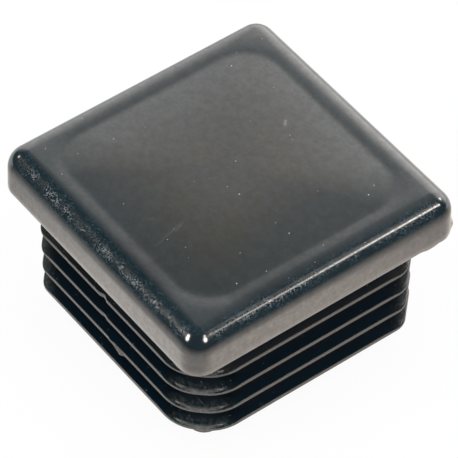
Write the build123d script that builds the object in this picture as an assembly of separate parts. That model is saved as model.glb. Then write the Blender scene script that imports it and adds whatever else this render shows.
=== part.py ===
from build123d import *
import math
import os

# Push-in end cap for square steel tube, moulded in one piece: a crowned square head,
# a hollow square core below it, and a stack of thin fins around the core that grip
# the inside of the tube.  Millimetres.  The origin is the centre of the head's
# underside, which is the plane of the tube's end, and +Z points out of the tube.

# --- the tube that the cap closes ---
tube_width = 40.0
tube_wall = 2.0
tube_bore = tube_width - 2 * tube_wall

# --- head ---
head_width = tube_width              # flush with the outside of the tube
head_height = 6.1                    # underside to the flat ledge round the top
head_corner_radius = 3.2             # in plan, at the underside
head_edge_radius = 3.0               # the soft edge round the top
head_draft = 1.0                     # degrees, each side leans in towards the top

# --- crowned panel in the middle of the top ---
panel_margin = 4.4                   # from the head's side to the panel's edge
panel_rise = 0.55                    # height of the crown above the ledge
crown_power = 3.0                    # steep at the edge of the panel, level in the middle
crown_squareness = 7.0               # 2 is a round panel, and more is squarer
crown_grid = 17                      # points each way that carry the crown's surface
crown_accuracy = 0.002

# --- core below the head ---
core_wall = 2.0
core_corner_radius = 2.1
core_tail = 3.4                      # length of core past the last fin
core_lead_in = 0.2                   # chamfer round the open end

# --- fins round the core ---
fin_count = 4
fin_pitch = 3.35
first_fin_depth = 5.25               # head's underside to the underside of the first fin
fin_squeeze = 0.2                    # each side, over the bore of the tube
fin_reach = 3.0                      # from the core's face to the rim
fin_rim_thickness = 0.75
fin_root_thickness = 1.15
fin_corner_cut = 4.0                 # each corner is cut off this far along both sides
fin_corner_ease = 4.0                # radius that eases each end of the cut
fin_corner_edge = 0.35               # height of the cut's upright edge, below its roll
fin_corner_roll = 0.9                # radius that rolls the cut over to the fin's top
fin_roll_steps = 4

# --- pocket that hollows the core and the head ---
head_plate_thickness = 2.8           # left between the pocket and the ledge
pocket_corner_radius = 1.5
pocket_floor_radius = 1.0
pocket_draft = 0.5                   # degrees, wider at the open end

# --- worked out from the sizes above ---
fillet_clearance = 0.1               # keeps an edge fillet inside the corner it runs round
fuse_overlap = 0.5                   # how far joined solids run into one another
head_half = head_width / 2
panel_half = head_half - panel_margin
crown_skirt = panel_margin / 4       # the crown runs on below the ledge this far
fin_half = tube_bore / 2 + fin_squeeze
core_half = fin_half - fin_reach
pocket_half = core_half - core_wall
last_fin_depth = first_fin_depth + (fin_count - 1) * fin_pitch
core_length = last_fin_depth + core_tail
pocket_top = head_height - head_plate_thickness
pocket_depth = core_length + pocket_top

# each end of a cut corner is eased by an arc that turns this far
EASE_TURN = math.radians(45)


def square_outline(half, cut, ease, z):
    """Square wire at height z, its corners cut off and both ends of each cut eased by an arc."""
    side_end = half - cut - ease * math.tan(EASE_TURN / 2)

    def on_arc(angle):
        return (half - ease * (1 - math.cos(angle)), side_end + ease * math.sin(angle), z)

    def mirrored(point):
        return (point[1], point[0], z)

    start, middle, end = on_arc(0), on_arc(EASE_TURN / 2), on_arc(EASE_TURN)
    edges = []
    for quarter in range(4):
        turn = Rot(0, 0, 90 * quarter)
        edges.append(turn * Line((half, -side_end, z), start))
        edges.append(turn * ThreePointArc(start, middle, end))
        edges.append(turn * Line(end, mirrored(end)))
        edges.append(turn * ThreePointArc(mirrored(end), mirrored(middle), mirrored(start)))
    return Wire(edges)


def round_outline(half, radius, z):
    """Square wire with corners of a true radius, at height z."""
    return (Pos(0, 0, z) * RectangleRounded(2 * half, 2 * half, radius)).wire()


def sharp_outline(half, z):
    """Plain square wire at height z."""
    return (Pos(0, 0, z) * Rectangle(2 * half, 2 * half)).wire()


def rising_prism(half, radius, bottom, height, draft=0.0):
    """Rounded square bar that narrows by draft degrees as it rises."""
    inset = height * math.tan(math.radians(draft))
    sections = [
        round_outline(half, radius, bottom),
        round_outline(half - inset, radius - inset, bottom + height),
    ]
    return Solid.make_loft(sections, ruled=True)


def make_head():
    """Square block whose sides lean in, with soft top edges."""
    plan = RectangleRounded(head_width, head_width, head_corner_radius)
    block = extrude(plan, amount=head_height, taper=head_draft)
    top_radius = head_corner_radius - head_height * math.tan(math.radians(head_draft))
    radius = min(head_edge_radius, top_radius - fillet_clearance, head_height - fillet_clearance)
    top_edges = block.faces().sort_by(Axis.Z)[-1].edges()
    return fillet(top_edges, radius)


def crown_height(x, y):
    """Height of the crown over the ledge, which it meets along the edge of the panel."""
    x_share = abs(x / panel_half) ** crown_squareness
    y_share = abs(y / panel_half) ** crown_squareness
    spread = (x_share + y_share) ** (1 / crown_squareness)
    return panel_rise * (1 - spread ** crown_power)


def make_crown():
    """One smooth surface that swells out of the ledge, made solid down into the head."""
    reach = panel_half + crown_skirt
    stations = [reach * (2 * step / (crown_grid - 1) - 1) for step in range(crown_grid)]
    rows = []
    for y in stations:
        rows.append([Vector(x, y, head_height + crown_height(x, y)) for x in stations])
    surface = Face.make_surface_from_array_of_points(rows, tol=crown_accuracy)
    return Solid.extrude(surface, Vector(0, 0, -panel_rise - fuse_overlap))


def make_core():
    """Square bar under the head, chamfered round its open end."""
    bar = rising_prism(core_half, core_corner_radius, -core_length, core_length + fuse_overlap)
    end_edges = bar.faces().sort_by(Axis.Z)[0].edges()
    return bar.chamfer(core_lead_in, None, end_edges)


def make_flange(underside):
    """Square flange round the core, a thin rim that thickens evenly to its root."""
    root_half = core_half - fuse_overlap
    slope = (fin_root_thickness - fin_rim_thickness) / fin_reach
    root_thickness = fin_root_thickness + fuse_overlap * slope
    sections = [
        sharp_outline(fin_half, underside),
        sharp_outline(fin_half, underside + fin_rim_thickness),
        sharp_outline(root_half, underside + root_thickness),
    ]
    return Solid.make_loft(sections, ruled=True)


def make_corner_form(underside):
    """What a fin's corners are trimmed to: an upright edge that rolls in over the top."""
    sections = [square_outline(fin_half, fin_corner_cut, fin_corner_ease, underside)]
    for step in range(fin_roll_steps + 1):
        angle = math.radians(90) * step / fin_roll_steps
        inset = fin_corner_roll * (1 - math.cos(angle))
        z = underside + fin_corner_edge + fin_corner_roll * math.sin(angle)
        cut = fin_corner_cut + inset * math.sqrt(2)
        sections.append(square_outline(fin_half, cut, fin_corner_ease, z))
    top = z + fin_root_thickness
    sections.append(square_outline(fin_half, cut, fin_corner_ease, top))
    return Solid.make_loft(sections, ruled=True)


def make_fin(underside):
    """One fin, with its four corners cut and rolled."""
    return make_flange(underside) & make_corner_form(underside)


def make_pocket():
    """The hollow, open below, with a softened edge round its blind end."""
    hollow = rising_prism(
        pocket_half, pocket_corner_radius, -core_length, pocket_depth, pocket_draft
    )
    end_radius = pocket_corner_radius - pocket_depth * math.tan(math.radians(pocket_draft))
    radius = min(pocket_floor_radius, end_radius - fillet_clearance)
    blind_edges = hollow.faces().sort_by(Axis.Z)[-1].edges()
    return hollow.fillet(radius, blind_edges)


def make_end_cap():
    cap = make_head() + make_crown() + make_core()
    for fin in range(fin_count):
        cap += make_fin(-(first_fin_depth + fin * fin_pitch))
    return cap - make_pocket()


end_cap = make_end_cap()
os.makedirs("parts", exist_ok=True)
export_step(end_cap, "parts/end_cap.step")
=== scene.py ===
import math
from collections import namedtuple

import bpy
from mathutils import Matrix, Vector


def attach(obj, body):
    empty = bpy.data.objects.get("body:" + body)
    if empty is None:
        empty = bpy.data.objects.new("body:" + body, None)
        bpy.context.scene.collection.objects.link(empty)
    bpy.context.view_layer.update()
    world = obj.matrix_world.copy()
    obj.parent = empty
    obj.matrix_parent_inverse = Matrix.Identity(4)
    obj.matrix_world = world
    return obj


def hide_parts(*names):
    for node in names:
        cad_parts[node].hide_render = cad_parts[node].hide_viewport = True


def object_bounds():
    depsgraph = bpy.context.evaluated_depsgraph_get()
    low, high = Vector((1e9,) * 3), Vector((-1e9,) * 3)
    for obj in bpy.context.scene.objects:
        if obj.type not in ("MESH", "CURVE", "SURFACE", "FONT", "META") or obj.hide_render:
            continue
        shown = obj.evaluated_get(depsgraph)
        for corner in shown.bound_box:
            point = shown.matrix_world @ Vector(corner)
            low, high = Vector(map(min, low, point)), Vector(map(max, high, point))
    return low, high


# Looks of a push-in end cap for square tube: one black plastic moulding with a crowned
# head, a hollow core and a stack of thin fins.  Sizes are in millimetres unless said.

MM = 0.001
WHITE = (1, 1, 1, 1)
EASE_TURN = math.radians(45)         # a corner is a cut whose two ends are eased by arcs
EASE_TANGENT = math.tan(EASE_TURN / 2)

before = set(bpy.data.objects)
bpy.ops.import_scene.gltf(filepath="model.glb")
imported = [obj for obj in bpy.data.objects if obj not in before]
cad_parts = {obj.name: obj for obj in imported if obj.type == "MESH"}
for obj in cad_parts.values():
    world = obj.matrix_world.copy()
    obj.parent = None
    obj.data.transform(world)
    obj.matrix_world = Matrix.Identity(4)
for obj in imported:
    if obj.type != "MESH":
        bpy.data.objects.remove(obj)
cad_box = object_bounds()

# --- head ---
head_half = cad_box[1][0] / MM
head_height = 6.1
head_corner_radius = 2.85
head_edge_width = 2.94
head_edge_drop = 3.0
head_draft = 1.0
head_foot_radius = 0.12
panel_half = 15.6
panel_corner_share = 0.32            # the panel's corner radius over its half width
panel_rise = 0.6
crown_power = 2.6
ledge_dip = 0.06                     # the ledge has sunk this far along the panel

# --- core and pocket ---
floor_height = cad_box[0][2] / MM
core_half = 15.2
core_corner_radius = 2.1
core_lead_in = 0.2
pocket_half = 13.2
pocket_corner_radius = 1.5
pocket_floor_radius = 1.0
pocket_top = 3.3
pocket_draft = 0.5

# --- fins ---
fin_count = 4
fin_pitch = 3.35
first_fin_depth = 5.25
fin_half = 18.2
fin_rim_thickness = 0.75
fin_rim_top_radius = 0.22
fin_rim_foot_radius = 0.12
fin_root_thickness = 1.15
fin_corner_cut = 4.4
fin_corner_ease = 2.8
fin_near_corner_cut = 4.0            # one corner came out fuller and rounder than the rest
fin_near_corner_ease = 5.8
fin_corner_edge = 0.55
fin_corner_edge_ease = 0.4           # the share of that edge that the rim's rounding takes
fin_corner_roll = 1.05
fin_roll_reach = 1.3                 # along the sides, the roll's rings start this far in
fin_inner_corner_inset = 2.28        # at the core, narrowing to the roll's radius
fin_swell = (1.58, 1.77)             # |x| + |y| over the half width: the corner's rise eases in
least_corner_cut = 0.05
corner_trim_ease = 0.06
insert_shift = (-0.16, -0.18)        # the mould's two halves don't quite line up

# --- fineness of the mesh ---
side_steps = 72
ease_steps = 12
FLAT_STEPS = 2                       # across the cut between its two easing arcs
edge_guard = 0.1                     # a sharp edge has a ring this far to each side
weld_distance = 0.001

# --- flash and torn rims: centre, reach, shift, and whether it is ragged ---
moulding_marks = (
    ((18.8, 19.4, 0.7), 0.9, (0.13, 0.19, 0.0), False),
    ((19.9, 15.4, 0.0), 1.5, (0.0, 0.0, -0.28), False),
    ((19.6, 17.4, 0.0), 1.2, (0.0, 0.0, -0.12), False),
    ((-0.6, -18.4, -4.9), 0.8, (0.0, 0.22, 0.0), False),
    ((-0.8, -18.4, -8.2), 1.0, (0.0, 0.14, 0.10), True),
    ((1.3, -18.3, -11.6), 1.1, (0.0, -0.20, 0.26), True),
    ((2.5, -18.3, -11.8), 1.2, (0.0, -0.20, -0.24), True),
)
mark_core = 0.3                      # the share of its reach in which a mark is whole
# a ragged mark is scaled by noise from 0 to 1, times the swing, plus the level
tear_scale = 0.8
tear_detail = 1.0
tear_swing = 4.0
tear_level = -1.4

# ---------------------------------------------------------------- sections
# A section is a list of rings, from the middle of the crown outwards, down the outside
# and back up the pocket.  A ring's corners are cut off at 45 degrees, and arcs ease the
# cut's ends.  near_cut and near_ease are those of the fuller corner, at +X and -Y.

Ring = namedtuple("Ring", "half cut ease height corner_height near_cut near_ease")


def plain_ring(half, cut, ease, height):
    """Ring that lies level, with four equal corners."""
    return Ring(half, cut, ease, height, height, cut, ease)


def round_ring(half, radius, height):
    """Ring whose corners are quarter arcs."""
    return plain_ring(half, radius * (1 - EASE_TANGENT), radius, height)


def blend_rings(start, end, steps):
    """Rings evenly between two, both left out."""
    rings = []
    for step in range(1, steps):
        share = step / steps
        rings.append(Ring(*(a + (b - a) * share for a, b in zip(start, end))))
    return rings


def soft_max(a, b, width):
    """The larger of two sizes, eased where they cross."""
    return b + width * math.log1p(math.exp((a - b) / width))


def crown_rings(steps=60, ease=0.025):
    """The crowned panel, then the ledge that climbs from it to the soft edge."""
    reach = head_half - head_height * math.tan(math.radians(head_draft)) - head_edge_width
    low = head_height - ledge_dip
    rings = []
    for step in range(steps + 1):
        half = reach * step / steps
        crown = low + panel_rise * (1 - (half / panel_half) ** crown_power)
        inward = (reach - half) / (reach - panel_half)
        ledge = head_height - ledge_dip * inward ** 2
        rings.append(round_ring(half, panel_corner_share * half, soft_max(crown, ledge, ease)))
    return rings


def edge_rings(steps=14):
    """The soft edge round the top, taller than it is wide."""
    lean = math.tan(math.radians(head_draft))
    top_half = head_half - head_height * lean
    corner = head_corner_radius - head_height * lean
    rings = []
    for step in range(1, steps + 1):
        angle = math.radians(90 - head_draft) * step / steps
        inset = head_edge_width * (1 - math.sin(angle))
        height = head_height - head_edge_drop * (1 - math.cos(angle))
        rings.append(round_ring(top_half - inset, corner - inset, height))
    return rings


def side_rings(foot_steps=3):
    """The head's side, its small bottom edge and its underside in to the core."""
    foot = head_foot_radius
    last = edge_rings()[-1]
    rings = blend_rings(last, round_ring(head_half, head_corner_radius, foot), steps=4)
    for step in range(foot_steps + 1):
        angle = math.radians(90) * step / foot_steps
        inset = foot * (1 - math.cos(angle))
        height = foot * (1 - math.sin(angle))
        rings.append(round_ring(head_half - inset, head_corner_radius - inset, height))
    rings.append(round_ring(head_half - 2 * foot, head_corner_radius - 2 * foot, 0))
    core_top = round_ring(core_half, core_corner_radius, 0)
    rings += blend_rings(rings[-1], core_top, steps=3)
    rings.append(core_top)
    return rings


def head_section():
    return crown_rings() + edge_rings() + side_rings()


def trimmed(corner_cut, corner_ease, inset, corner_inset):
    """A corner's cut and ease, this far in from the rim and from the cut."""
    root_share = inset / (fin_half - core_half)
    root_cut = core_corner_radius * (1 - EASE_TANGENT)
    least_cut = root_cut * root_share ** 2 + least_corner_cut
    trim = corner_cut - 2 * inset + math.sqrt(2) * corner_inset
    cut = soft_max(trim, least_cut, corner_trim_ease)
    return (cut, min(corner_ease, cut / (1 - EASE_TANGENT)))


def fin_ring(inset, height, corner_inset=0.0, corner_height=None):
    """Ring of a fin, this far in from the rim along its sides and from the cut at its corners."""
    cut, ease = trimmed(fin_corner_cut, fin_corner_ease, inset, corner_inset)
    near_cut, near_ease = trimmed(fin_near_corner_cut, fin_near_corner_ease, inset, corner_inset)
    corner_height = height if corner_height is None else corner_height
    return Ring(fin_half - inset, cut, ease, height, corner_height, near_cut, near_ease)


def fin_top_rings(slope, inner_steps=6, roll_steps=14):
    """A fin's top, from the core out to its rim, with the roll over its corners."""
    reach = fin_half - core_half
    roll = fin_corner_roll
    rings = []
    for step in range(inner_steps):
        share = step / inner_steps
        inset = reach + (fin_roll_reach - reach) * share
        corner_inset = fin_inner_corner_inset + (roll - fin_inner_corner_inset) * share
        height = fin_rim_thickness + slope * inset
        rings.append(fin_ring(inset, height, corner_inset, fin_corner_edge + roll))
    for step in range(roll_steps + 1):
        share = step / roll_steps
        angle = math.radians(90) * (1 - share)
        inset = fin_roll_reach + (fin_rim_top_radius - fin_roll_reach) * share
        height = fin_rim_thickness + slope * inset
        corner_inset = roll * (1 - math.cos(angle))
        rings.append(fin_ring(inset, height, corner_inset, fin_corner_edge + roll * math.sin(angle)))
    return rings


def fin_rim_rings(slope, top_steps=4, foot_steps=3):
    """A fin's rim, eased at its top, with a small edge at its foot."""
    top = fin_rim_top_radius
    foot = fin_rim_foot_radius
    rings = []
    for step in range(1, top_steps + 1):
        angle = math.radians(90) * step / top_steps
        inset = top * (1 - math.sin(angle))
        height = fin_rim_thickness - top + (1 + slope) * top * math.cos(angle)
        corner_height = fin_corner_edge * (1 - fin_corner_edge_ease * step / top_steps)
        rings.append(fin_ring(inset, height, 0, corner_height))
    rings.append(fin_ring(0, 2 * foot, 0, 2 * foot))
    for step in range(foot_steps + 1):
        angle = math.radians(90) * step / foot_steps
        inset = foot * (1 - math.cos(angle))
        rings.append(fin_ring(inset, foot * (1 - math.sin(angle)), inset))
    rings.append(fin_ring(2 * foot, 0, 2 * foot))
    return rings


def fin_section():
    """One fin, with its height counted from its underside.  Its corners are fat and rolled."""
    slope = (fin_root_thickness - fin_rim_thickness) / (fin_half - core_half)
    rings = fin_top_rings(slope) + fin_rim_rings(slope)
    root_foot = round_ring(core_half, core_corner_radius, 0)
    rings += blend_rings(rings[-1], root_foot, steps=3)
    rings.append(root_foot)
    return rings


def tail_section(wall_steps=8, blind_steps=6):
    """The core's open end, then the pocket up to its blind end."""
    lean = math.tan(math.radians(pocket_draft))
    blind_half = pocket_half - (pocket_top - floor_height) * lean
    blind_corner = pocket_corner_radius - (pocket_top - floor_height) * lean
    lead = core_lead_in
    guard = edge_guard
    rings = [
        round_ring(core_half, core_corner_radius, floor_height + lead + guard),
        round_ring(core_half, core_corner_radius, floor_height + lead),
        round_ring(core_half - lead, core_corner_radius - lead, floor_height),
        round_ring(pocket_half + guard, pocket_corner_radius + guard, floor_height),
        round_ring(pocket_half, pocket_corner_radius, floor_height + guard),
    ]
    wall_top = round_ring(blind_half, blind_corner, pocket_top - pocket_floor_radius)
    rings += blend_rings(rings[-1], wall_top, wall_steps)
    for step in range(blind_steps + 1):
        angle = math.radians(90) * step / blind_steps
        inset = pocket_floor_radius * (1 - math.cos(angle))
        height = pocket_top - pocket_floor_radius * (1 - math.sin(angle))
        rings.append(round_ring(blind_half - inset, blind_corner - inset, height))
    centre = plain_ring(0, 0, 0, pocket_top)
    rings += blend_rings(rings[-1], centre, blind_steps)
    rings.append(centre)
    return rings


def section_object(name, rings, belongs_to_insert):
    """Carries a section into the tree: x is the half width, y the corner cut, z the height."""
    points = [(ring.half * MM, ring.cut * MM, ring.height * MM) for ring in rings]
    mesh = bpy.data.meshes.new(name)
    mesh.from_pydata(points, [(i, i + 1) for i in range(len(points) - 1)], [])
    carried = {
        "ease": [ring.ease * MM for ring in rings],
        "corner_rise": [(ring.corner_height - ring.height) * MM for ring in rings],
        "near_cut": [ring.near_cut * MM for ring in rings],
        "near_ease": [ring.near_ease * MM for ring in rings],
        "insert": [belongs_to_insert] * len(rings),
    }
    for key, values in carried.items():
        mesh.attributes.new(key, "FLOAT", "POINT").data.foreach_set("value", values)
    return bpy.data.objects.new(name, mesh)


# ---------------------------------------------------------------- node helpers

class Bench:
    """Adds nodes to a tree and joins them up, so that a tree reads as a list of steps."""

    def __init__(self, tree):
        self.tree = tree

    def feed(self, socket, value):
        if isinstance(value, bpy.types.NodeSocket):
            self.tree.links.new(value, socket)
        elif value is not None:
            socket.default_value = value

    def add(self, kind, inputs=None, **settings):
        node = self.tree.nodes.new(kind)
        for key, value in settings.items():
            setattr(node, key, value)
        for key, value in (inputs or {}).items():
            self.feed(node.inputs[key], value)
        return node

    def math(self, operation, *values, clamp=False):
        kind = "ShaderNodeMath"
        node = self.add(kind, dict(enumerate(values)), operation=operation, use_clamp=clamp)
        return node.outputs[0]

    def mix(self, share, a, b):
        """Number between a and b."""
        return self.math("MULTIPLY_ADD", self.math("SUBTRACT", b, a), share, a)

    def vector(self, x, y, z):
        return self.add("ShaderNodeCombineXYZ", {0: x, 1: y, 2: z}).outputs[0]

    def parts(self, vector):
        return self.add("ShaderNodeSeparateXYZ", {0: vector}).outputs

    def vector_math(self, operation, *values):
        """Sum, difference or product of vectors.  A length, distance or dot product is a number."""
        node = self.add("ShaderNodeVectorMath", dict(enumerate(values)), operation=operation)
        is_number = operation in ("LENGTH", "DISTANCE", "DOT_PRODUCT")
        return node.outputs["Value" if is_number else "Vector"]

    def scaled(self, vector, factor):
        inputs = {0: vector, "Scale": factor}
        return self.add("ShaderNodeVectorMath", inputs, operation="SCALE").outputs["Vector"]

    def ramped(self, value, low, high, start=0.0, end=1.0):
        """Number that eases from start to end as the value goes from low to high."""
        return self.add("ShaderNodeMapRange", {
            "Value": value, "From Min": low, "From Max": high, "To Min": start, "To Max": end,
        }, interpolation_type="SMOOTHSTEP").outputs[0]

    def both(self, a, b):
        """Product of two masks or strengths."""
        return self.math("MULTIPLY", a, b)

    def most(self, values):
        """The largest of several numbers."""
        largest = values[0]
        for value in values[1:]:
            largest = self.math("MAXIMUM", largest, value)
        return largest

    def colour_mix(self, share, a, b):
        return self.add("ShaderNodeMix", {0: share, 6: a, 7: b}, data_type="RGBA").outputs[2]

    def turned_towards(self, share, a, b):
        """Direction between a and b."""
        mixed = self.add("ShaderNodeMix", {0: share, 4: a, 5: b}, data_type="VECTOR").outputs[1]
        return self.vector_math("NORMALIZE", mixed)


# ---------------------------------------------------------------- the moulding's tree

NEAR_QUARTER = 3                     # it ends at +X and -Y, and quarter 0 at +X and +Y

def whole_section(bench, given):
    """Head, then the fin's section once for each fin, then the tail, as one list of rings."""
    parts = {}
    for part in ("Head Section", "Fin Section", "Tail Section"):
        info = bench.add("GeometryNodeObjectInfo", {"Object": given[part]})
        parts[part] = info.outputs["Geometry"]
    down = bench.math("MULTIPLY", given["Fin Pitch"], -1)
    start = bench.math("MULTIPLY", given["First Fin Depth"], -1)
    places = bench.add("GeometryNodeMeshLine", {
        "Count": given["Fin Count"],
        "Start Location": bench.vector(0, 0, start),
        "Offset": bench.vector(0, 0, down),
    }, mode="OFFSET")
    fins = bench.add("GeometryNodeInstanceOnPoints", {
        "Points": places.outputs[0],
        "Instance": parts["Fin Section"],
    })
    fins = bench.add("GeometryNodeRealizeInstances", {"Geometry": fins.outputs[0]})
    joined = bench.add("GeometryNodeJoinGeometry")
    # the part that is linked last comes out first
    for part in (parts["Tail Section"], fins.outputs[0], parts["Head Section"]):
        bench.tree.links.new(part, joined.inputs[0])
    return joined.outputs[0]


def sampled(bench, section, value, ring, kind="FLOAT"):
    """Value that the section has at a ring."""
    node = bench.add("GeometryNodeSampleIndex", {
        "Geometry": section,
        "Index": ring,
    }, data_type=kind, domain="POINT")
    bench.feed(node.inputs["Value"], value)
    return node.outputs["Value"]


def steps_round_corner(bench, arc_steps):
    return bench.math("MULTIPLY_ADD", arc_steps, 2, FLAT_STEPS)


def corner_sizes(bench, ring, is_near):
    """A corner's ease, and how far from the middle of the side its first arc starts."""
    cut = bench.mix(is_near, ring["cut"], ring["near_cut"])
    ease = bench.mix(is_near, ring["ease"], ring["near_ease"])
    tangent = bench.math("MULTIPLY_ADD", ease, EASE_TANGENT, cut)
    return ease, bench.math("SUBTRACT", ring["half"], tangent)


def place_on_corner(bench, half, ease, side_end, past_side, arc_steps):
    """Point of the first arc, or of the second as its mirror in the diagonal, or between them."""
    from_end = bench.math("SUBTRACT", steps_round_corner(bench, arc_steps), past_side)
    nearest = bench.math("MINIMUM", bench.math("MINIMUM", past_side, from_end), arc_steps)
    angle = bench.math("MULTIPLY", bench.math("DIVIDE", nearest, arc_steps), EASE_TURN)
    drop = bench.math("SUBTRACT", 1, bench.math("COSINE", angle))
    arc_x = bench.math("SUBTRACT", half, bench.math("MULTIPLY", drop, ease))
    arc_y = bench.math("MULTIPLY_ADD", bench.math("SINE", angle), ease, side_end)
    into_flat = bench.math("SUBTRACT", past_side, arc_steps)
    mirror = bench.math("DIVIDE", into_flat, FLAT_STEPS, clamp=True)
    return bench.mix(mirror, arc_x, arc_y), bench.mix(mirror, arc_y, arc_x)


def place_on_square(bench, ring, step, straight_steps, arc_steps):
    """Point of a ring: along one side, round its corner, and so on for four quarters."""
    per_quarter = bench.math("ADD", straight_steps, steps_round_corner(bench, arc_steps))
    quarter = bench.math("FLOOR", bench.math("DIVIDE", step, per_quarter))
    along = bench.math("SUBTRACT", step, bench.math("MULTIPLY", quarter, per_quarter))
    is_near = bench.math("COMPARE", quarter, NEAR_QUARTER, 0.5)
    ease, side_end = corner_sizes(bench, ring, is_near)
    # a side starts where the corner before it ended
    this_quarter = bench.math("MODULO", quarter, 4)
    is_after_near = bench.math("COMPARE", this_quarter, (NEAR_QUARTER + 1) % 4, 0.5)
    side_start = bench.math("MULTIPLY", corner_sizes(bench, ring, is_after_near)[1], -1)
    side_share = bench.math("MINIMUM", bench.math("DIVIDE", along, straight_steps), 1)
    side_y = bench.mix(side_share, side_start, side_end)
    past_side = bench.math("MAXIMUM", bench.math("SUBTRACT", along, straight_steps), 0)
    corner_x, corner_y = place_on_corner(bench, ring["half"], ease, side_end, past_side, arc_steps)
    on_corner = bench.math("GREATER_THAN", along, straight_steps)
    x = bench.mix(on_corner, ring["half"], corner_x)
    y = bench.mix(on_corner, side_y, corner_y)
    # the corners may stand higher than the sides
    spread = bench.math("ADD", bench.math("ABSOLUTE", x), bench.math("ABSOLUTE", y))
    swell = bench.ramped(bench.math("DIVIDE", spread, ring["half"]), *fin_swell)
    z = bench.math("ADD", ring["height"], bench.math("MULTIPLY", ring["corner_rise"], swell))
    turned = bench.add("ShaderNodeVectorRotate", {
        "Vector": bench.vector(x, y, z),
        "Angle": bench.math("MULTIPLY", quarter, math.radians(90)),
    }, rotation_type="Z_AXIS")
    return turned.outputs[0]


def with_marks(bench, place):
    """Adds the nubs of flash and the torn rims: lumps and ragged stretches of the surface."""
    for centre, reach, shift, is_ragged in moulding_marks:
        away = bench.vector_math("DISTANCE", place, Vector(centre) * MM)
        share = bench.ramped(away, reach * MM, mark_core * reach * MM)
        if is_ragged:
            noise = bench.add("ShaderNodeTexNoise", {
                "Vector": place, "Scale": tear_scale / MM, "Detail": tear_detail,
            }).outputs[0]
            swing = bench.math("MULTIPLY_ADD", noise, tear_swing, tear_level)
            share = bench.math("MULTIPLY", share, swing)
        lump = bench.scaled(Vector(shift) * MM, share)
        place = bench.vector_math("ADD", place, lump)
    return place


def sheet_of_rings(bench, section, given):
    """Sheet whose rows follow the section's rings, with the ring and the step of each point."""
    size = bench.add("GeometryNodeAttributeDomainSize", {"Geometry": section})
    rings = size.outputs["Point Count"]
    corner_steps = steps_round_corner(bench, given["Ease Steps"])
    per_quarter = bench.math("ADD", given["Side Steps"], corner_steps)
    # the last column lies on the first, and is merged with it later
    around = bench.math("MULTIPLY_ADD", per_quarter, 4, 1)
    sheet = bench.add("GeometryNodeMeshGrid", {"Vertices X": around, "Vertices Y": rings})
    index = bench.add("GeometryNodeInputIndex").outputs[0]
    step = bench.math("FLOOR", bench.math("DIVIDE", index, rings))
    ring = bench.math("SUBTRACT", index, bench.math("MULTIPLY", step, rings))
    return sheet.outputs["Mesh"], ring, step


def ring_sizes(bench, section, ring):
    """What the section carries for a ring, by name."""
    position = bench.add("GeometryNodeInputPosition").outputs[0]
    half, cut, height = bench.parts(sampled(bench, section, position, ring, "FLOAT_VECTOR"))
    sizes = {"half": half, "cut": cut, "height": height}
    for name in ("ease", "corner_rise", "near_cut", "near_ease", "insert"):
        attribute = bench.add("GeometryNodeInputNamedAttribute", {"Name": name})
        sizes[name] = sampled(bench, section, attribute.outputs["Attribute"], ring)
    return sizes


def finished_mesh(bench, mesh, material):
    """Closes the sheet, turns its faces outwards and gives it its material."""
    closed = bench.add("GeometryNodeMergeByDistance", {
        "Geometry": mesh,
        "Distance": weld_distance * MM,
    })
    facing = bench.add("GeometryNodeFlipFaces", {"Mesh": closed.outputs[0]})
    smooth = bench.add("GeometryNodeSetShadeSmooth", {"Geometry": facing.outputs[0]})
    whole = bench.add("GeometryNodeRealizeInstances", {"Geometry": smooth.outputs[0]})
    finished = bench.add("GeometryNodeSetMaterial", {
        "Geometry": whole.outputs[0],
        "Material": material,
    })
    return finished.outputs[0]


def square_lathe_tree():
    """Carries a section round a square with rounded corners, and closes it."""
    tree = bpy.data.node_groups.new("square lathe", "GeometryNodeTree")
    sockets = {
        "Head Section": "NodeSocketObject",
        "Fin Section": "NodeSocketObject",
        "Tail Section": "NodeSocketObject",
        "Fin Count": "NodeSocketInt",
        "Fin Pitch": "NodeSocketFloat",
        "First Fin Depth": "NodeSocketFloat",
        "Side Steps": "NodeSocketInt",
        "Ease Steps": "NodeSocketInt",
        "Insert Shift": "NodeSocketVector",
        "Material": "NodeSocketMaterial",
    }
    for name, kind in sockets.items():
        tree.interface.new_socket(name=name, in_out="INPUT", socket_type=kind)
    tree.interface.new_socket(
        name="Geometry", in_out="OUTPUT", socket_type="NodeSocketGeometry"
    )
    bench = Bench(tree)
    given = bench.add("NodeGroupInput").outputs
    section = whole_section(bench, given)
    sheet, ring, step = sheet_of_rings(bench, section, given)
    sizes = ring_sizes(bench, section, ring)
    place = place_on_square(bench, sizes, step, given["Side Steps"], given["Ease Steps"])
    shift = bench.scaled(given["Insert Shift"], sizes["insert"])
    place = bench.vector_math("ADD", place, shift)
    shaped = bench.add("GeometryNodeSetPosition", {
        "Geometry": sheet,
        "Position": with_marks(bench, place),
    })
    output = bench.add("NodeGroupOutput")
    finished = finished_mesh(bench, shaped.outputs[0], given["Material"])
    bench.feed(output.inputs["Geometry"], finished)
    return tree


def grown(name, tree, values):
    """Plain mesh object that the tree makes with these values for its named inputs."""
    seed = bpy.data.objects.new(name + "_seed", bpy.data.meshes.new(name + "_seed"))
    bpy.context.scene.collection.objects.link(seed)
    modifier = seed.modifiers.new(name, "NODES")
    modifier.node_group = tree
    for item in tree.interface.items_tree:
        if item.in_out == "INPUT" and item.name in values:
            modifier[item.identifier] = values[item.name]
    graph = bpy.context.evaluated_depsgraph_get()
    mesh = bpy.data.meshes.new_from_object(seed.evaluated_get(graph))
    mesh.name = name
    bpy.data.objects.remove(seed)
    piece = bpy.data.objects.new(name, mesh)
    bpy.context.scene.collection.objects.link(piece)
    return piece


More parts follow.
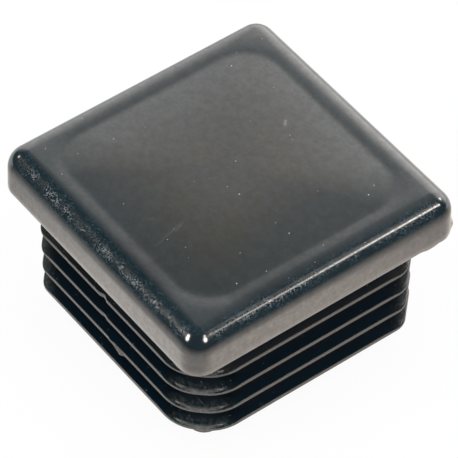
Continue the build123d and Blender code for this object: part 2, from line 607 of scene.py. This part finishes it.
def make_moulding(material):
    sections = [
        section_object("head_section", head_section(), 0),
        section_object("fin_section", fin_section(), 1),
        section_object("tail_section", tail_section(), 1),
    ]
    for section in sections:
        bpy.context.scene.collection.objects.link(section)
    piece = grown("end_cap_moulding", square_lathe_tree(), {
        "Head Section": sections[0],
        "Fin Section": sections[1],
        "Tail Section": sections[2],
        "Fin Count": fin_count,
        "Fin Pitch": fin_pitch * MM,
        "First Fin Depth": first_fin_depth * MM,
        "Side Steps": side_steps,
        "Ease Steps": ease_steps,
        "Insert Shift": (insert_shift[0] * MM, insert_shift[1] * MM, 0),
        "Material": material,
    })
    for section in sections:
        bpy.data.objects.remove(section)
    return piece


# ---------------------------------------------------------------- materials

# --- where each part of the finish sets in, eased from the first value to the second ---
top_heights = (5.0, 5.9)
fin_heights = (-3.0, -4.0)
left_wear_y = (-17.2, -17.9)
left_wear_heights = (3.4, 4.4)
right_wear_x = (17.4, 18.2)
right_wear_heights = (3.6, 4.6)
wear_ends = (36.6, 35.2)             # |x| + |y|: the head's corners aren't scuffed
fin_roll_spread = (29.5, 31.5)       # |x| + |y|
brown_reach = (17, 6)                # the larger of |x| and |y|
polish_wear = (2, 28)                # x - y: the polish wears off towards the near corner
polish_stays = (29.5, 26)            # and is whole again on the ledge past the panel
# the fins' upward faces get a painted teal reflection from this facing
fin_top_facing = (0.5, 0.95)         # the upward part of the surface's direction
# where the painted sheen on the fins' rolls sets in, by facing
roll_sheen_facing = (0.98, 0.80)
fin_level_facing = (0.24, 0.60)

# --- noise: scale, detail and roughness, then the span in which it counts.  A span may
# also give the values at its two ends, which are otherwise 0 and 1 ---
wear_patches = ((0.5, 2.0, 0.65), (0.32, 0.60))
scuff_spots = ((3.8, 3.0, 0.7), (0.52, 0.58))
# specks on the fins' rims: partly grit, partly painted sparkling highlights
grit_and_glint_spots = ((3.0, 2.0, 0.65), (0.57, 0.64, 0.0, 0.22))
# painted sheen in specks on the fins' rolls
roll_sheen_spots = ((2.4, 3.0, 0.65), (0.42, 0.62))
cloud_spots = ((0.9, 6.0, 0.8), (0.36, 0.64))
haze_noise = (0.11, 5.0, 0.6)
haze_browning = (0.30, 0.60, 0.4, 1.0)
grain_noise = (5.0, 3.0, 0.65)
# cells a millimetre, size and share of the specks
top_dust = ((0.45, 0.05, 0.5), (1.3, 0.09, 0.12))
fin_dust = (2.2, 0.17, 0.14)

# --- colours ---
cold_black = (0.004, 0.009, 0.0115, 1)
brown_black = (0.011, 0.008, 0.002, 1)
fin_rim_black = (0.005, 0.009, 0.010, 1)
# light grey specks: partly grit, partly painted sparkling highlights
fin_top_painted_teal = (0.002, 0.014, 0.026, 1)
# painted reflection: the dark room's teal, painted on the fins' upward faces
grit_and_glint_grey = (0.35, 0.34, 0.33, 1)
# painted sheen: the white floor's reflection on the fins' rolls
roll_sheen_grey = (0.050, 0.075, 0.085, 1)
scuff_teal = (0.026, 0.056, 0.070, 1)
scratch_grey = (0.30, 0.30, 0.29, 1)
dust_grey = (0.55, 0.54, 0.50, 1)

# --- polish: how much of the gloss is lost, and how rough the plastic is ---
plastic_ior = 2.0
mirror_warmth = (1.0, 0.93, 0.87, 1)
polish_roughness = 0.035
lost_to_wear = 0.5
lost_to_clouding = 0.36
lost_to_scuffs = 0.5
plain_roughness = 0.09
haze_roughness = 0.12                # added in full haze
top_roughness = 0.06                 # added on the top
wear_roughness = 0.07
scuff_roughness = 0.26
fin_roughness = 0.30
roll_roughness = 0.42

# --- relief, in millimetres ---
grain_height = 0.0022
fin_grain_height = 0.008             # added on the fins
scuff_depth = 0.0022
scratch_depth = 0.010

# light marks on the surface: start, end, width, strength
scratches = (
    ((3.5, -9.4, 6.5), (4.5, -14.0, 6.3), 0.35, 0.05),
    ((4.16, -10.85, 6.45), (3.71, -9.62, 6.5), 0.22, 0.12),
    ((-2.3, 10.4, 6.45), (-1.8, 9.9, 6.45), 0.30, 0.35),
    ((0.2, -12.6, 6.4), (1.0, -11.9, 6.4), 0.12, 0.3),
    ((-6.9, 6.0, 6.5), (-6.4, 6.5, 6.5), 0.45, 0.04),
    ((18.3, -4.9, 5.4), (18.9, -4.1, 5.2), 0.20, 0.3),
    ((18.5, -8.6, 5.6), (18.9, -7.6, 5.3), 0.25, 0.3),
    ((-5.2, -18.9, 5.2), (-4.3, -18.7, 5.4), 0.16, 0.30),
    ((-4.9, -19.2, 5.0), (-4.4, -18.8, 5.3), 0.14, 0.25),
    ((-4.4, -19.2, 4.9), (-3.8, -19.0, 5.2), 0.16, 0.22),
    ((15.2, -15.7, -6.86), (16.44, -15.59, -7.42), 0.09, 0.9),
    ((14.86, -15.91, -10.24), (16.12, -15.80, -10.59), 0.08, 0.6),
    ((15.6, -15.7, -13.65), (15.95, -15.55, -13.74), 0.12, 0.4),
)


def new_material(name):
    material = bpy.data.materials.new(name)
    material.use_nodes = True
    material.node_tree.nodes.clear()
    return material, Bench(material.node_tree)


def near_line(bench, place, start, end, width):
    """1 on a line between two points, easing to 0 at this width from it."""
    start, end = Vector(start), Vector(end)
    along = end - start
    offset = bench.vector_math("SUBTRACT", place, start)
    share = bench.vector_math("DOT_PRODUCT", offset, along / along.length_squared)
    share = bench.math("MINIMUM", bench.math("MAXIMUM", share, 0), 1)
    away = bench.vector_math("DISTANCE", offset, bench.scaled(along, share))
    return bench.ramped(away, 0, width, 1, 0)


def speckle(bench, place, scale, detail, roughness):
    """Cloudy noise from 0 to 1."""
    node = bench.add("ShaderNodeTexNoise", {
        "Vector": place, "Scale": scale, "Detail": detail, "Roughness": roughness,
    })
    return node.outputs[0]


def spots(bench, place, noise, span):
    """Where the noise passes the span."""
    return bench.ramped(speckle(bench, place, *noise), *span)


def dust(bench, place, scale, size, share):
    """Separate small specks, one in some of the cells."""
    cells = bench.add("ShaderNodeTexVoronoi", {"Vector": place, "Scale": scale})
    spot = bench.ramped(cells.outputs["Distance"], size / 2, size, 1, 0)
    chance = bench.parts(cells.outputs["Color"])[0]
    return bench.both(spot, bench.math("GREATER_THAN", chance, 1 - share))


def edge_wear(bench, place, spread):
    """Worn patches along the top edges of two sides, but not at their corners."""
    x, y, z = bench.parts(place)
    left_edge = bench.both(bench.ramped(y, *left_wear_y), bench.ramped(z, *left_wear_heights))
    right_edge = bench.both(bench.ramped(x, *right_wear_x), bench.ramped(z, *right_wear_heights))
    edges = bench.most([left_edge, right_edge])
    wear = bench.both(edges, spots(bench, place, *wear_patches))
    return bench.both(wear, bench.ramped(spread, *wear_ends))


def finish_zones(bench):
    """Where each part of the finish lies, as masks by name, with the place and the haze."""
    coordinates = bench.add("ShaderNodeTexCoord").outputs["Object"]
    place = bench.scaled(coordinates, 1 / MM)
    x, y, z = bench.parts(place)
    sideways = [bench.math("ABSOLUTE", x), bench.math("ABSOLUTE", y)]
    spread = bench.math("ADD", *sideways)
    to_near = bench.math("SUBTRACT", x, y)
    top = bench.ramped(z, *top_heights)
    fins = bench.ramped(z, *fin_heights)
    wear = edge_wear(bench, place, spread)
    dulled = bench.both(
        bench.ramped(to_near, *polish_wear), bench.ramped(to_near, *polish_stays)
    )
    middle = bench.ramped(bench.most(sideways), *brown_reach)
    haze = speckle(bench, place, *haze_noise)
    return {
        "place": place,
        "haze": haze,
        "top": top,
        "fins": fins,
        "rolls": bench.both(bench.ramped(spread, *fin_roll_spread), fins),
        "wear": wear,
        "scuffs": bench.both(wear, spots(bench, place, *scuff_spots)),
        "dulled": bench.both(dulled, top),
        "brown": bench.both(bench.both(middle, top), bench.ramped(haze, *haze_browning)),
    }


def scratch_lines(bench, zones):
    """How strongly a scratch marks each place."""
    return bench.most([
        bench.both(near_line(bench, zones["place"], start, end, width), strength)
        for start, end, width, strength in scratches
    ])


def dust_specks(bench, zones):
    """Sparse larger and finer specks on the top, and grit on the fins."""
    specks = [
        bench.both(dust(bench, zones["place"], *kind), zones["top"])
        for kind in top_dust
    ]
    specks.append(bench.both(dust(bench, zones["place"], *fin_dust), zones["fins"]))
    return bench.most(specks)


def fin_colour(bench, zones, upward):
    """Teal painted on top of the fins as the dark room's reflection, light specks on their rims that
    are partly grit and partly painted sparkling highlights, and painted sheen in specks on their
    rolls.
    """
    # the upward faces get teal painted in as the room's reflection
    level = bench.ramped(upward, *fin_top_facing)
    black_with_painted_light = bench.colour_mix(level, fin_rim_black, fin_top_painted_teal)
    steep = bench.both(bench.math("SUBTRACT", 1.0, level), zones["fins"])
    # specks on the rims, partly grit and partly painted sparkling highlights
    grit_and_glints = bench.both(spots(bench, zones["place"], *grit_and_glint_spots), steep)
    with_grit_and_glints = bench.colour_mix(grit_and_glints, black_with_painted_light, grit_and_glint_grey)
    # painted sheen on the rolls, in specks, where they turn sideways
    painted_roll_sheen = bench.both(zones["rolls"], spots(bench, zones["place"], *roll_sheen_spots))
    painted_roll_sheen = bench.both(painted_roll_sheen, bench.ramped(upward, *roll_sheen_facing))
    return bench.colour_mix(painted_roll_sheen, with_grit_and_glints, roll_sheen_grey)


def plastic_colour(bench, zones, upward, lines, specks):
    """Brownish in the middle of the top and a colder black out to the edges, with its marks."""
    head = bench.colour_mix(zones["brown"], cold_black, brown_black)
    black_with_painted_light = bench.colour_mix(zones["fins"], head, fin_colour(bench, zones, upward))
    scuffed = bench.colour_mix(zones["scuffs"], black_with_painted_light, scuff_teal)
    marked = bench.colour_mix(lines, scuffed, scratch_grey)
    return bench.colour_mix(specks, marked, dust_grey)


def plastic_polish(bench, zones, specks):
    """How much of the gloss is left: none on the fins, and less where it is worn or dusty."""
    lost = bench.math("MULTIPLY_ADD", zones["dulled"], lost_to_wear, zones["fins"])
    clouded = spots(bench, zones["place"], *cloud_spots)
    lost = bench.math("MULTIPLY_ADD", clouded, lost_to_clouding, lost)
    polish = bench.math("SUBTRACT", 1.0, lost, clamp=True)
    polish = bench.both(polish, bench.math("SUBTRACT", 1.0, specks))
    unscuffed = bench.math("MULTIPLY_ADD", zones["scuffs"], -lost_to_scuffs, 1.0)
    return bench.both(polish, unscuffed)


def plastic_roughness(bench, zones):
    """Uneven on the head, with rough scuffs in the smoother worn edges, and matt on the fins."""
    roughness = bench.math("MULTIPLY_ADD", zones["haze"], haze_roughness, plain_roughness)
    roughness = bench.math("MULTIPLY_ADD", zones["top"], top_roughness, roughness)
    roughness = bench.mix(zones["wear"], roughness, wear_roughness)
    roughness = bench.mix(zones["scuffs"], roughness, scuff_roughness)
    roughness = bench.mix(zones["fins"], roughness, fin_roughness)
    return bench.mix(zones["rolls"], roughness, roll_roughness)


def plastic_relief(bench, zones, normal, upward, lines):
    """Grain, scuffs and scratches.  The fins' tops catch the light as if level up to the roll."""
    grain = speckle(bench, zones["place"], *grain_noise)
    grain_here = bench.math("MULTIPLY_ADD", zones["fins"], fin_grain_height, grain_height)
    height = bench.math("MULTIPLY", grain, grain_here)
    height = bench.math("MULTIPLY_ADD", zones["scuffs"], -scuff_depth, height)
    height = bench.math("MULTIPLY_ADD", lines, -scratch_depth, height)
    level = bench.both(bench.ramped(upward, *fin_level_facing), zones["fins"])
    bump = bench.add("ShaderNodeBump", {
        "Height": height,
        "Distance": MM,
        "Strength": 1.0,
        "Normal": bench.turned_towards(level, normal, (0, 0, 1)),
    })
    return bump.outputs[0]


def moulded_plastic():
    """Glossy black polyethylene: scuffed along its edges, dusty on top, matt on the fins."""
    material, bench = new_material("glossy_black_polyethylene")
    zones = finish_zones(bench)
    lines = scratch_lines(bench, zones)
    specks = dust_specks(bench, zones)
    normal = bench.add("ShaderNodeNewGeometry").outputs["Normal"]
    upward = bench.parts(normal)[2]
    relief = plastic_relief(bench, zones, normal, upward, lines)
    shader = bench.add("ShaderNodeBsdfPrincipled", {
        "Base Color": plastic_colour(bench, zones, upward, lines, specks),
        "Roughness": plastic_roughness(bench, zones),
        "IOR": plastic_ior,
        "Specular Tint": mirror_warmth,
        "Coat Weight": plastic_polish(bench, zones, specks),
        "Coat Roughness": polish_roughness,
        "Coat IOR": plastic_ior,
        "Normal": relief,
        "Coat Normal": relief,
    })
    output = bench.add("ShaderNodeOutputMaterial")
    bench.feed(output.inputs["Surface"], shader.outputs[0])
    return material


# ---------------------------------------------------------------- studio

# --- the room: how bright its pale wall looks, by the sine of the height over the horizon ---
wall_by_height = (
    (0.0, 1.00), (0.25, 1.00), (0.47, 0.90), (0.59, 0.80), (0.643, 0.72), (0.68, 0.62),
    (0.715, 0.57), (0.743, 0.49), (0.765, 0.38), (0.79, 0.29), (0.848, 0.26),
    (0.90, 0.19), (0.95, 0.08),
)
# and by how far it lies to the +Y side, from -1 to 1 moved to 0 to 1
wall_by_side = ((0.44, 0.0), (0.545, 0.3), (0.61, 0.62), (0.70, 0.70), (0.80, 0.92), (0.92, 1.08))
wall_strength = 1.18
wall_edge = (-0.05, 0.45)            # x, between which the wall gives way to the dark room
wall_tint = (1.0, 0.965, 0.94)
room_glow = (0.058, 0.096, 0.120)
# small lamps and a strip of the room, for the highlights: ends, half width, brightness
mirror_lamps = (
    ((-0.30, -0.85, 0.42), (-0.28, -0.86, 0.42), 0.24, 11.0),
    ((-0.34, -0.76, 0.55), (-0.32, -0.76, 0.56), 0.20, 11.0),
    ((0.80, 0.11, 0.58), (0.79, 0.12, 0.60), 0.25, 11.0),
    ((0.62, 0.19, 0.76), (0.60, 0.20, 0.77), 0.15, 6.0),
    ((-0.71, -0.47, 0.52), (-0.69, -0.48, 0.55), 0.12, 5.0),
    ((0.18, 0.84, 0.51), (0.19, 0.83, 0.52), 0.14, 7.0),
    ((0.62, 0.56, 0.56), (0.64, 0.45, 0.62), 0.10, 7.0),
    ((0.58, 0.44, 0.68), (0.40, 0.40, 0.82), 0.05, 0.7),
)
lamp_tint = (1.0, 0.94, 0.90)

# --- the paper: a pool of light painted into it, how bright and how tinted it looks in reflections, by its distance ---
paper_reach = 350                    # what counts as 1 in the stops below
paper_reach_right = 392
paper_rightward = (0.7, 0.7, 0)
paper_sides = (-25, 25)              # the left side's values ease into the right side's
paper_backward = (-0.8, 0.6, 0)
paper_back_line = (5, 40)            # past it the paper looks equally bright
# painted pool of light: the glow falls off towards the front
paper_glow_dims_to_front = (
    (0.108, 1.0), (0.125, 0.76), (0.14, 0.62), (0.235, 0.40), (0.30, 0.27), (0.9, 0.10)
)
paper_glow_tints = (
    (0.085, (1.0, 0.985, 0.965)), (0.11, (1.0, 0.94, 0.89)),
    (0.15, (1.0, 0.97, 0.94)), (0.22, (0.96, 1.0, 1.0)),
)
paper_warmth_right = (1.0, 0.965, 0.935, 1)
paper_behind_left = 0.64
paper_behind_right = 0.76
paper_whiteness = 0.95               # to the eye: the rest of it takes the cap's shadow
paper_grey = (0.85, 0.85, 0.85, 1)
floor_reach = 400
floor_corners = 96

# --- the softbox overhead, in metres ---
softbox_distance = 0.9
softbox_width = 0.9
softbox_radiance = 3.0


def set_ramp(node, stops):
    """Ramp through these (place, grey value or colour) stops."""
    elements = node.color_ramp.elements
    while len(elements) < len(stops):
        elements.new(0.5)
    for element, (place, value) in zip(elements, stops):
        colour = value if isinstance(value, tuple) else (value, value, value)
        element.position = place
        element.color = colour + (1,)


def painted_paper_glow(bench, place):
    """Painted pool of light: how bright the paper glows in reflections, and its tint: it dims to the
    front.
    """
    distance = bench.vector_math("LENGTH", place)
    rightward = bench.vector_math("DOT_PRODUCT", place, paper_rightward)
    to_right = bench.ramped(rightward, *(side * MM for side in paper_sides))
    backward = bench.vector_math("DOT_PRODUCT", place, paper_backward)
    behind = bench.ramped(backward, *(line * MM for line in paper_back_line))
    reach = bench.mix(to_right, paper_reach * MM, paper_reach_right * MM)
    front = bench.add("ShaderNodeValToRGB", {0: bench.math("DIVIDE", distance, reach)})
    set_ramp(front, paper_glow_dims_to_front)
    far_paper = bench.mix(to_right, paper_behind_left, paper_behind_right)
    tints = bench.add("ShaderNodeValToRGB", {0: bench.math("DIVIDE", distance, paper_reach * MM)})
    set_ramp(tints, paper_glow_tints)
    warmth = bench.colour_mix(to_right, WHITE, paper_warmth_right)
    tint = bench.vector_math("MULTIPLY", tints.outputs[0], warmth)
    return bench.mix(behind, front.outputs[0], far_paper), tint


def backdrop_paper():
    """White paper, white to the eye with a soft shadow, and a painted pool of light in reflections.
    """
    material, bench = new_material("white_paper")
    place = bench.add("ShaderNodeTexCoord").outputs["Object"]
    mirrored_glow, glow_tint = painted_paper_glow(bench, place)
    rays = bench.add("ShaderNodeLightPath").outputs
    in_mirror = rays["Is Glossy Ray"]
    paper = bench.add("ShaderNodeBsdfDiffuse", {"Color": paper_grey})
    # the glow in reflections is a painted pool of light
    glow = bench.add("ShaderNodeEmission", {
        "Color": bench.colour_mix(in_mirror, WHITE, glow_tint),
        "Strength": bench.mix(in_mirror, 1.0, mirrored_glow),
    })
    to_eye = bench.math("MULTIPLY", rays["Is Camera Ray"], paper_whiteness)
    surface = bench.add("ShaderNodeMixShader", {
        0: bench.math("MAXIMUM", to_eye, in_mirror),
        1: paper.outputs[0],
        2: glow.outputs[0],
    })
    output = bench.add("ShaderNodeOutputMaterial")
    bench.feed(output.inputs["Surface"], surface.outputs[0])
    return material


def make_floor():
    """A wide disc of paper under the cap."""
    mesh = bpy.data.meshes.new("floor")
    ring = []
    for corner in range(floor_corners):
        angle = 2 * math.pi * corner / floor_corners
        place = Vector((math.cos(angle), math.sin(angle), 0)) * floor_reach
        ring.append((place + Vector((0, 0, floor_height))) * MM)
    mesh.from_pydata(ring, [], [list(range(floor_corners))])
    mesh.materials.append(backdrop_paper())
    floor = bpy.data.objects.new("floor", mesh)
    bpy.context.scene.collection.objects.link(floor)


def room_light(bench, x, y, z):
    """The pale wall, the dark room's glow and the small lamps, as they look in a direction."""
    by_height = bench.add("ShaderNodeValToRGB", {0: z})
    set_ramp(by_height, wall_by_height)
    by_side = bench.add("ShaderNodeValToRGB", {0: bench.math("MULTIPLY_ADD", y, 0.5, 0.5)})
    set_ramp(by_side, wall_by_side)
    by_front = bench.ramped(x, *wall_edge, wall_strength, 0.0)
    wall = bench.both(bench.both(by_side.outputs[0], by_front), by_height.outputs[0])
    lit = bench.vector_math("MULTIPLY_ADD", bench.vector(wall, wall, wall), wall_tint, room_glow)
    direction = bench.vector(x, y, z)
    lamps = bench.most([
        bench.both(near_line(bench, direction, start, end, width), brightness)
        for start, end, width, brightness in mirror_lamps
    ])
    return bench.vector_math("MULTIPLY_ADD", bench.vector(lamps, lamps, lamps), lamp_tint, lit)


def make_world():
    """White to the eye.  The cap is lit by a pale wall behind, a dark room and its lamps."""
    world = bpy.data.worlds.new("studio")
    bpy.context.scene.world = world
    world.use_nodes = True
    world.node_tree.nodes.clear()
    bench = Bench(world.node_tree)
    incoming = bench.add("ShaderNodeNewGeometry").outputs["Incoming"]
    # incoming points back from the sky, so every part is turned round
    outgoing = [bench.math("MULTIPLY", part, -1) for part in bench.parts(incoming)]
    room = bench.add("ShaderNodeBackground", {"Color": room_light(bench, *outgoing), "Strength": 1.0})
    white = bench.add("ShaderNodeBackground", {"Color": WHITE, "Strength": 1.0})
    rays = bench.add("ShaderNodeLightPath").outputs
    surface = bench.add("ShaderNodeMixShader", {
        0: rays["Is Camera Ray"],
        1: room.outputs[0],
        2: white.outputs[0],
    })
    output = bench.add("ShaderNodeOutputWorld")
    bench.feed(output.inputs["Surface"], surface.outputs[0])


def make_softbox():
    """Lamp overhead, set by how bright it looks.  It lights the cap and isn't mirrored in it."""
    lamp = bpy.data.lights.new("overhead_softbox", "AREA")
    lamp.shape = "RECTANGLE"
    lamp.size = softbox_width
    lamp.size_y = softbox_width
    lamp.energy = softbox_radiance * math.pi * softbox_width ** 2
    holder = bpy.data.objects.new("overhead_softbox", lamp)
    holder.location = (0, 0, softbox_distance)
    holder.visible_glossy = False
    bpy.context.scene.collection.objects.link(holder)


def make_camera(azimuth=52.98, elevation=48.25, roll=0.256, distance=447.9, lens=290.6,
                aim_right=0.084, aim_up=-2.868):
    """Long lens, close to the cap.  The aim is off the origin, across and up the view."""
    a = math.radians(azimuth)
    e = math.radians(elevation)
    r = math.radians(roll)
    back = Vector((math.sin(a) * math.cos(e), -math.cos(a) * math.cos(e), math.sin(e)))
    across = Vector((math.cos(a), math.sin(a), 0))
    upward = back.cross(across)
    right = math.cos(r) * across + math.sin(r) * upward
    up = math.cos(r) * upward - math.sin(r) * across
    place = (back * distance + right * aim_right + up * aim_up) * MM
    data = bpy.data.cameras.new("camera")
    data.sensor_width = 36
    data.lens = lens
    data.clip_start = 0.01
    camera = bpy.data.objects.new("camera", data)
    camera.matrix_world = Matrix.Translation(place) @ Matrix((right, up, back)).transposed().to_4x4()
    bpy.context.scene.collection.objects.link(camera)
    bpy.context.scene.camera = camera


# ---------------------------------------------------------------- making the scene

moulding = make_moulding(moulded_plastic())
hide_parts("end_cap")
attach(moulding, "root")

make_floor()
make_world()
make_softbox()
make_camera()
bpy.context.scene.view_settings.view_transform = "Standard"
